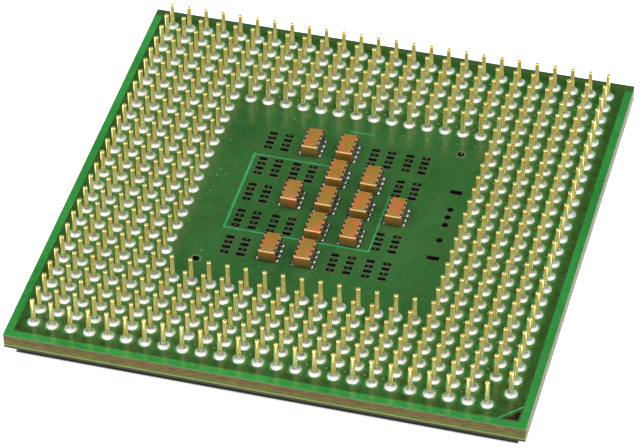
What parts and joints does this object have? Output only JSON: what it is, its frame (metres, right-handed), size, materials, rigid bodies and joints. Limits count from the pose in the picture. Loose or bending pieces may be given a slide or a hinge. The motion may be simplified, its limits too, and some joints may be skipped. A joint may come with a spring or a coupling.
{
  "type": "cpu processor",
  "caption": "Square bare-die processor package with a field of gold pins round ceramic capacitors on one side and a silicon die on the other, for a zero-insertion-force socket.",
  "frame": {"origin": "centre of the bounding box at its lowest level, which is the outer face of the silicon die", "axes": "+Z is the way the pins point, +X runs along the front edge to the keyed corner, and +Y runs from the front edge to the back edge, so the keyed corner is at +X, -Y"},
  "size_m": [0.035, 0.035, 0.004],
  "materials": {
    "silicon": "polished silicon, stored as gloss plastic because the list has no silicon",
    "bump_solder": "tin solder",
    "underfill_resin": "filled epoxy resin",
    "solder_mask": "semi-gloss green solder mask",
    "plane_copper": "copper foil, stored as brass because the list has no copper",
    "build_up_laminate": "cut resin laminate",
    "core_laminate": "cut glass and resin laminate",
    "mark_gold": "flash gold plating",
    "pin_gold": "gold plated alloy pins with tin solder feet",
    "capacitor_ceramic": "fired ceramic with tin plated terminals"
  },
  "bodies": {
    "root": {"silicon_die": "silicon", "solder_bump_layer": "bump_solder", "underfill": "underfill_resin", "solder_mask_die_side": "solder_mask", "ground_plane_die_side": "plane_copper", "corner_mark_die_side": "mark_gold", "build_up_die_side": "build_up_laminate", "inner_plane_die_side": "plane_copper", "substrate_core": "core_laminate", "inner_plane_pin_side": "plane_copper", "build_up_pin_side": "build_up_laminate", "ground_plane_pin_side": "plane_copper", "power_island_pin_side": "plane_copper", "solder_mask_pin_side": "solder_mask", "corner_mark_pin_side": "mark_gold", "capacitor_1": "capacitor_ceramic", "capacitor_2": "capacitor_ceramic", "capacitor_3": "capacitor_ceramic", "capacitor_4": "capacitor_ceramic", "capacitor_5": "capacitor_ceramic", "capacitor_6": "capacitor_ceramic", "capacitor_7": "capacitor_ceramic", "capacitor_8": "capacitor_ceramic", "capacitor_9": "capacitor_ceramic", "capacitor_10": "capacitor_ceramic", "capacitor_11": "capacitor_ceramic", "capacitor_12": "capacitor_ceramic", "pin_row_front_1": "pin_gold", "pin_row_back_1": "pin_gold", "pin_column_left_1": "pin_gold", "pin_column_right_1": "pin_gold", "pin_row_front_2": "pin_gold", "pin_row_back_2": "pin_gold", "pin_column_left_2": "pin_gold", "pin_column_right_2": "pin_gold", "pin_row_front_3": "pin_gold", "pin_row_back_3": "pin_gold", "pin_column_left_3": "pin_gold", "pin_column_right_3": "pin_gold", "pin_row_front_4": "pin_gold", "pin_row_back_4": "pin_gold", "pin_column_left_4": "pin_gold", "pin_column_right_4": "pin_gold", "pin_row_front_5": "pin_gold", "pin_row_back_5": "pin_gold", "pin_column_left_5": "pin_gold", "pin_column_right_5": "pin_gold", "pin_row_front_6": "pin_gold", "pin_row_back_6": "pin_gold", "pin_column_left_6": "pin_gold", "pin_column_right_6": "pin_gold"}
  },
  "joints": []
}
